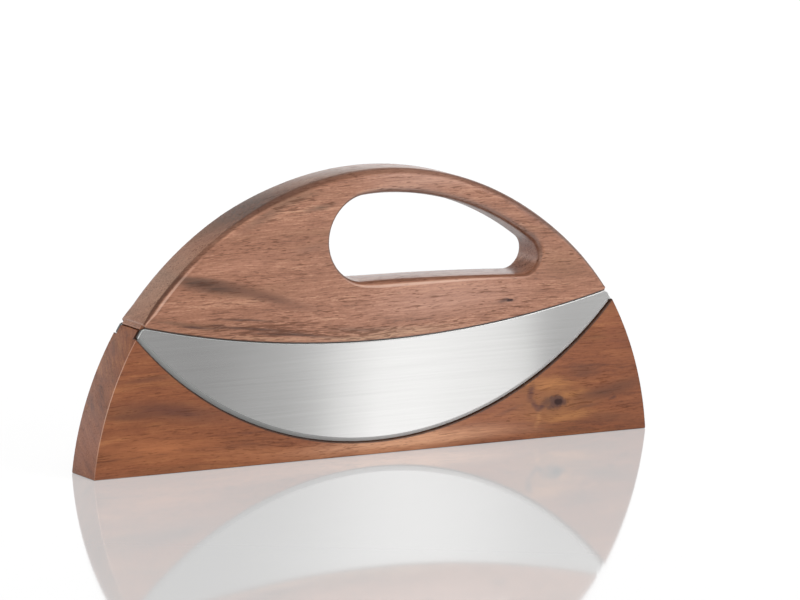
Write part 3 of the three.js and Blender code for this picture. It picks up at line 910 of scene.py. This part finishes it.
BASE_MARKS = {
    "streaks_shade_and_sheen": [
        (-106, 27.2, 52, 7, -8, 0.75, (98, 52, 36)),
        (-128, 26.5, 22, 3, -4, 0.5, (86, 46, 32)),
        (-118, 43.8, 24, 2.4, 3, 0.6, (96, 52, 34)),
        (-122, 56, 12, 4, 6, 0.4, (118, 64, 42)),
        # Painted light along the base's bottom, with painted sheen in its middle
        (-112, 11, 44, 9, -4, 0.8, (178, 108, 64)),
        (-60, 6, 40, 6, -4, 0.55, (178, 112, 70)),
        (16, 4, 84, 7.5, 0, 0.85, (212, 154, 116)),
        (94, 16, 34, 15, 0, 0.6, (156, 102, 56)),
        (125, 20.6, 30, 5, 7, 0.75, (92, 52, 32)),
        (122, 8.2, 24, 5, -8, 0.5, (116, 70, 42)),
        (110, 29.5, 14, 5, -6, 0.5, (108, 64, 42)),
        (127, 46, 12, 10, -50, 0.4, (142, 76, 48)),
    ],
    "swirls": [
        (91, 25, 20, 4.6, -4, 0.8, (186, 122, 68)),
        (100, 9, 22, 3.6, 4, 0.7, (184, 122, 68)),
        (86, 9, 6, 2.2, 85, 0.5, (190, 128, 76)),
        (104, 19.5, 14, 2.6, 8, 0.6, (178, 116, 62)),
        (81.6, 21.4, 6, 2.8, 74, 0.85, (82, 38, 30)),
        (83.6, 16, 6.5, 2.6, -52, 0.8, (88, 42, 32)),
        (88, 14.8, 6, 2.6, 35, 0.75, (86, 44, 34)),
        (70, 14, 14, 1.6, 16, 0.5, (112, 64, 42)),
        (112, 13, 12, 1.2, 6, 0.5, (104, 62, 40)),
        (126.8, 15.8, 2.4, 1.2, 0, 0.8, (84, 44, 32)),
    ],
    "painted_edge_shade": 0.0,
    "rubbed to": 0.3,
    # Spots of painted edge shade and painted highlight; the last is painted shade along the bottom edge
    "edge_shade_and_highlight_spots": [
        (-136, 34, 30, 70, 0, 0, 0.45),
        (0, 0, 600, 4, 0, 0.7, 0),
    ],
    # Painted light low on the base's left rim
    "edges": [(-143, 14, 10, 24, 0, 0.45, (176, 116, 92))],
    "crowds": [(-40, 7, 70, 7, -4, 0.05)],
    "knots": [(96.9, 16.2, 5.2, 3.4, -4)],
}

HANDLE_WOOD = hardwood(
    "handle wood",
    [(0.1, colour(120, 74, 50)), (0.4, colour(157, 103, 75)), (0.6, colour(172, 116, 88)),
     (0.9, colour(202, 148, 116))],
    cast=colour(140, 97, 63), ring_tilt=32, shift=(11.0, 5.0, 23.0), marks=HANDLE_MARKS,
    pore_colour=colour(82, 46, 29), oil=0.95, contrast=1.0, mottle=0.0,
    joint=(SHOULDER, HALF_THICKNESS - BLADE_THICKNESS / 2, SHOULDER_RADIUS - 0.7, SHOULDER_RADIUS - 0.3))
BASE_WOOD = hardwood(
    "base wood",
    [(0.1, colour(98, 50, 26)), (0.4, colour(134, 74, 40)), (0.6, colour(148, 85, 48)),
     (0.9, colour(176, 112, 66))],
    cast=colour(130, 82, 40), ring_tilt=-38, shift=(47.0, 31.0, 2.0), marks=BASE_MARKS,
    pore_colour=colour(72, 37, 23), oil=0.4, contrast=0.65, mottle=0.45,
    joint=(EDGE, RECESS_FLOOR, EDGE_RADIUS + RECESS_GAP + 0.6, EDGE_RADIUS + RECESS_GAP + 0.2))
BLADE_STEEL = brushed_steel()
STUD_STEEL = turned_steel()


# Pieces

BOARD = board_tree()
JOINERY = joinery_tree()
STUD_ROW = stud_tree()


def board(name, loops, front, back, material, steps=1, margin=0.0):
    return build(
        drawing(name, loops), BOARD, front_face=front * MM, back_face=back * MM, edge_steps=steps,
        face_margin=margin * MM, crease_angle=CREASE, material=material)


def joined(piece, material, joined_on=None, first_cutter=None, second_cutter=None):
    return build(
        piece, JOINERY, joined_on=joined_on, first_cutter=first_cutter, second_cutter=second_cutter,
        crease_angle=CREASE, material=material)


def turned(name, profile, sides):
    """A shape turned about the Y axis from pairs of radius and place along the axis."""
    points, faces, rings = [], [], []
    for radius, along in profile:
        count = sides if radius > 0 else 1
        rings.append([len(points) + i for i in range(count)])
        for i in range(count):
            angle = math.tau * i / sides
            points.append((radius * math.cos(angle) * MM, along * MM, radius * math.sin(angle) * MM))
    for low, high in zip(rings, rings[1:]):
        for i in range(sides):
            j = (i + 1) % sides
            corners = [low[i % len(low)], high[i % len(high)], high[j % len(high)], low[j % len(low)]]
            faces.append(list(dict.fromkeys(corners)))
    return new_mesh(name, points, [], faces)


STUD_PITCH = (2 * (TONGUE_HALF - STUD_END_DISTANCE) - STUD_STAGGER) / (STUDS_PER_BLADE - 1)


def stud_row(shape, material):
    return build(
        shape, STUD_ROW, count=STUDS_PER_BLADE, pitch=STUD_PITCH * MM, shift=-STUD_STAGGER / 2 * MM,
        reach=(SHOULDER_RADIUS + TONGUE_DEPTH / 2) * MM, shoulder_height=SHOULDER.y * MM,
        face=-TONGUE_FACE * MM, crease_angle=STUD_CREASE, material=material)


def half_turned(piece):
    """The same piece on the other face of the tool."""
    piece.data.transform(Matrix.Rotation(math.pi, 4, "Z"))
    return piece


def stud_profile():
    radius = STUD_DIAMETER / 2
    land = (STUD_LENGTH - STUD_CHAMFER - GROOVE_COUNT * GROOVE_WIDTH) / (GROOVE_COUNT + 1)
    profile = [(0.0, 0.0), (radius, 0.0)]
    for i in range(GROOVE_COUNT):
        start = (i + 1) * land + i * GROOVE_WIDTH
        profile += [(radius, start), (radius - GROOVE_DEPTH, start)]
        profile += [(radius - GROOVE_DEPTH, start + GROOVE_WIDTH), (radius, start + GROOVE_WIDTH)]
    end = [(radius, STUD_LENGTH - STUD_CHAMFER), (radius - STUD_CHAMFER, STUD_LENGTH), (0.0, STUD_LENGTH)]
    return profile + end


def disc_profile(radius, start, end):
    return [(0.0, start), (radius, start), (radius, end), (0.0, end)]


def handle():
    loops = [wooden_edge(handle_outline(), crown_round), wooden_edge(hole_outline(), hole_round)]
    plate = board(
        "handle_wood_piece", loops, HALF_THICKNESS, -HALF_THICKNESS, HANDLE_WOOD, HANDLE_STEPS,
        HANDLE_MARGIN)
    tongue = board("tongue", [square_edge(tongue_outline())], TONGUE_FACE, -TONGUE_FACE, HANDLE_WOOD)
    hole = disc_profile(STUD_DIAMETER / 2 + BOND_GAP, -OVERRUN, STUD_LENGTH + BOND_GAP)
    front_holes = stud_row(turned("front holes", hole, HOLE_SIDES), HANDLE_WOOD)
    back_holes = half_turned(stud_row(turned("back holes", hole, HOLE_SIDES), HANDLE_WOOD))
    whole = joined(plate, HANDLE_WOOD, tongue, front_holes, back_holes)
    scrap(tongue, front_holes, back_holes)
    return whole


def base():
    loops = [wooden_edge(base_outline(), base_round)]
    block = board(
        "base_wood_piece", loops, HALF_THICKNESS, -HALF_THICKNESS, BASE_WOOD, BASE_STEPS, FACE_MARGIN)
    outer = HALF_THICKNESS + OVERRUN
    profile = disc_profile(EDGE_RADIUS + RECESS_GAP, -outer, -RECESS_FLOOR)
    recess = turned("recess", profile, RECESS_SIDES)
    far_recess = half_turned(turned("far recess", profile, RECESS_SIDES))
    for cutter in (recess, far_recess):
        cutter.data.transform(Matrix.Translation((0.0, 0.0, EDGE.y * MM)))
    saddle = board("saddle", [square_edge(saddle_outline())], outer, -outer, BASE_WOOD)
    hollowed = joined(block, BASE_WOOD, None, recess, far_recess)
    seated = joined(hollowed, BASE_WOOD, None, saddle)
    scrap(recess, far_recess, saddle)
    return seated


def blade(name):
    loops = [blade_edge(blade_outline())]
    return board(name, loops, HALF_THICKNESS, BLADE_INNER, BLADE_STEEL, margin=FACE_MARGIN)


def settle(piece, body, slot, *nodes):
    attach(piece, body)
    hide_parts(*nodes)


settle(handle(), "tool", "handle_wood", "handle")
settle(base(), "stand", "base_wood", "base")
settle(blade("front_blade_piece"), "tool", "blade_steel", "front_blade")
settle(half_turned(blade("back_blade_piece")), "tool", "blade_steel", "back_blade")
for side in ("front", "back"):
    studs = stud_row(turned(side + "_studs", stud_profile(), STUD_SIDES), STUD_STEEL)
    if side == "back":
        half_turned(studs)
    settle(studs, "tool", "stud_steel", *[f"{side}_stud_{i + 1}" for i in range(STUDS_PER_BLADE)])


# Stage, light and camera

WHITE = (1.0, 1.0, 1.0, 1.0)

# The table, in metres, and its brightness to the camera, in mirrored sheen and as light
TABLE_SIZE = 12.0
TABLE_GLOW = 0.84
TABLE_GLOW_SHARE = 0.78
TABLE_SHEEN = 0.6
TABLE_GREY = (0.35, 0.35, 0.35, 1.0)
POLISH = 1.2
POLISH_ROUGHNESS = 0.05
POLISH_INDEX = 1.5

# The reflector card, in metres: its two ways over the table, near edge, bend and upright part
CARD_ACROSS = Vector((0.849, 0.528, 0.0))
CARD_AHEAD = Vector((0.528, -0.849, 0.0))
CARD_LEVEL = Vector((0.0, 0.0, 0.002))
CARD_NEAR_Y = -0.014
CARD_NEAR_HALF = 1.6
CARD_BEND = 0.9
CARD_BEND_HALF = 2.2
CARD_UPRIGHT = CARD_AHEAD * 0.1 + Vector((0.0, 0.0, 0.7))

# Brightness of the card across its width in metres, dim at the left, a lit window in the middle
REFLECTOR = [
    (-0.35, 1.2), (-0.2, 0.5), (-0.105, 0.46), (-0.085, 0.45), (-0.064, 0.6), (-0.046, 0.68),
    (-0.034, 0.85), (-0.023, 1.17), (-0.005, 1.54), (0.015, 1.52), (0.037, 1.39), (0.055, 1.3),
    (0.062, 1.24), (0.067, 1.18), (0.071, 0.92), (0.074, 0.66), (0.079, 0.59), (0.12, 0.7), (0.2, 1.3)]

# Brightness of the white all around: as light, mirrored low down and overhead, and to the camera
AMBIENT = 0.28
MIRRORED_LOW = 1.25
MIRRORED_HIGH = 0.25
BACKDROP = 1.02
LOW_SLOPE = 0.2
HIGH_SLOPE = 0.42

# The photograph's view: place in metres, angles in degrees, focal length in pixels of its width
CAMERA_PLACE = (-1.70261, -2.77131, 0.63413)
CAMERA_ANGLES = (31.8206, -9.8585, 1.2949)
FOCAL_LENGTH = 7365.5
PHOTO_WIDTH = 800.0
SENSOR_WIDTH = 36.0
VIEW_RANGE = 100.0


def sheet(name, corners, faces, material):
    made = new_mesh(name, corners, [], faces)
    made.data.materials.append(material)
    return made


def mixed(tree, share, first, second):
    return tree.node("ShaderNodeMixShader", {}, {0: share, 1: first, 2: second})


def floor():
    """Glossy white table top: polished to the camera, an even sheen to the steel, grey as light."""
    material, tree = new_finish("table top")
    plain = tree.node("ShaderNodeBsdfDiffuse", {}, {"Color": TABLE_GREY})
    lit = tree.node("ShaderNodeBsdfDiffuse", {}, {"Color": WHITE})
    glow = tree.node("ShaderNodeEmission", {}, {"Color": WHITE, "Strength": TABLE_GLOW})
    gloss = tree.node("ShaderNodeBsdfGlossy", {}, {"Color": WHITE, "Roughness": POLISH_ROUGHNESS})
    fresnel = tree.node("ShaderNodeFresnel", {}, {"IOR": POLISH_INDEX})
    polished = mixed(tree, fresnel * POLISH, mixed(tree, TABLE_GLOW_SHARE, lit, glow), gloss)
    sheen = tree.node("ShaderNodeEmission", {}, {"Color": WHITE, "Strength": TABLE_SHEEN})
    seen = tree.node("ShaderNodeLightPath", output="Is Camera Ray")
    around = mixed(tree, seen.other("Is Glossy Ray"), plain, sheen)
    set_surface(tree, mixed(tree, seen, around, polished))
    half = TABLE_SIZE / 2
    corners = [(-half, -half, 0.0), (half, -half, 0.0), (half, half, 0.0), (-half, half, 0.0)]
    sheet("table_top", corners, [(0, 1, 2, 3)], material)


def reflector():
    """Card laid before the tool and bent up at its far side, seen only in what shines."""
    material, tree = new_finish("reflector card")
    low, high = REFLECTOR[0][0], REFLECTOR[-1][0]
    brightest = max(level for _, level in REFLECTOR)
    stops = [((s - low) / (high - low), (*[level / brightest] * 3, 1.0)) for s, level in REFLECTOR]
    along = tree.node("ShaderNodeTexCoord", output="Object").vectors("DOT_PRODUCT", CARD_ACROSS, "Value")
    shade = ramp((along - low) / (high - low), stops)
    glow = tree.node("ShaderNodeEmission", {}, {"Color": shade, "Strength": brightest})
    behind = tree.node("ShaderNodeNewGeometry", output="Backfacing")
    set_surface(tree, mixed(tree, behind, glow, tree.node("ShaderNodeBsdfTransparent")))
    near = [Vector((x, CARD_NEAR_Y, 0.0)) + CARD_LEVEL for x in (-CARD_NEAR_HALF, CARD_NEAR_HALF)]
    middle = CARD_AHEAD * CARD_BEND + CARD_LEVEL
    bend = [middle - CARD_ACROSS * CARD_BEND_HALF, middle + CARD_ACROSS * CARD_BEND_HALF]
    top = [corner + CARD_UPRIGHT for corner in bend]
    card = sheet("reflector", [*near, *bend, *top], [(0, 2, 3, 1), (2, 4, 5, 3)], material)
    card.visible_camera = card.visible_diffuse = card.visible_shadow = False


def surroundings():
    """White behind the tool, bright low down and dim overhead in reflections, soft as light."""
    world = bpy.data.worlds.new("white studio")
    world.use_nodes = True
    bpy.context.scene.world = world
    tree = Tree(world.node_tree)
    path = tree.node("ShaderNodeLightPath", output="Is Camera Ray")
    rise = tree.node("ShaderNodeTexCoord", output="Generated").axis("Z")
    overhead = between(rise, LOW_SLOPE, HIGH_SLOPE)
    mirrored_level = MIRRORED_LOW - overhead * (MIRRORED_LOW - MIRRORED_HIGH)
    level = AMBIENT + path.other("Is Glossy Ray") * (mirrored_level - AMBIENT)
    strength = level + path * (BACKDROP - level)
    white = tree.node("ShaderNodeBackground", {}, {"Color": WHITE, "Strength": strength})
    tree.node("ShaderNodeOutputWorld", {}, {"Surface": white})


def softbox(name, place, width, height, power, aim=(0.0, 0.0, 0.06)):
    lamp = bpy.data.lights.new(name, "AREA")
    lamp.shape = "RECTANGLE"
    lamp.size = width
    lamp.size_y = height
    lamp.energy = power
    made = linked(name, lamp)
    turn = (Vector(aim) - Vector(place)).to_track_quat("-Z", "Y")
    made.matrix_world = Matrix.Translation(place) @ turn.to_matrix().to_4x4()
    made.visible_glossy = made.visible_camera = False


def camera():
    """The photograph's view: a long lens from the front left, a little above."""
    yaw, pitch, roll = (math.radians(angle) for angle in CAMERA_ANGLES)
    ahead = Vector((math.sin(yaw) * math.cos(pitch), math.cos(yaw) * math.cos(pitch), math.sin(pitch)))
    right = Vector((math.cos(yaw), -math.sin(yaw), 0.0))
    up = right.cross(ahead)
    across = right * math.cos(roll) + up * math.sin(roll)
    upward = up * math.cos(roll) - right * math.sin(roll)
    lens = bpy.data.cameras.new("camera")
    lens.sensor_fit = "HORIZONTAL"
    lens.sensor_width = SENSOR_WIDTH
    lens.lens = SENSOR_WIDTH * FOCAL_LENGTH / PHOTO_WIDTH
    lens.clip_end = VIEW_RANGE
    made = linked("camera", lens)
    turn = Matrix((across, upward, -ahead)).transposed().to_4x4()
    made.matrix_world = Matrix.Translation(CAMERA_PLACE) @ turn
    bpy.context.scene.camera = made


floor()
reflector()
surroundings()
softbox("overhead", (0.0, -0.3, 1.5), width=1.6, height=1.0, power=7.0, aim=(0.0, 0.0, 0.05))
softbox("front left", (-1.35, -1.4, 0.7), width=0.9, height=0.9, power=17.0)
softbox("front right", (0.9, -1.4, 0.7), width=0.6, height=0.9, power=12.0)
softbox("low behind", (0.3, 2.0, 0.28), width=1.4, height=0.4, power=16.0)
camera()
bpy.context.scene.view_settings.view_transform = "Standard"
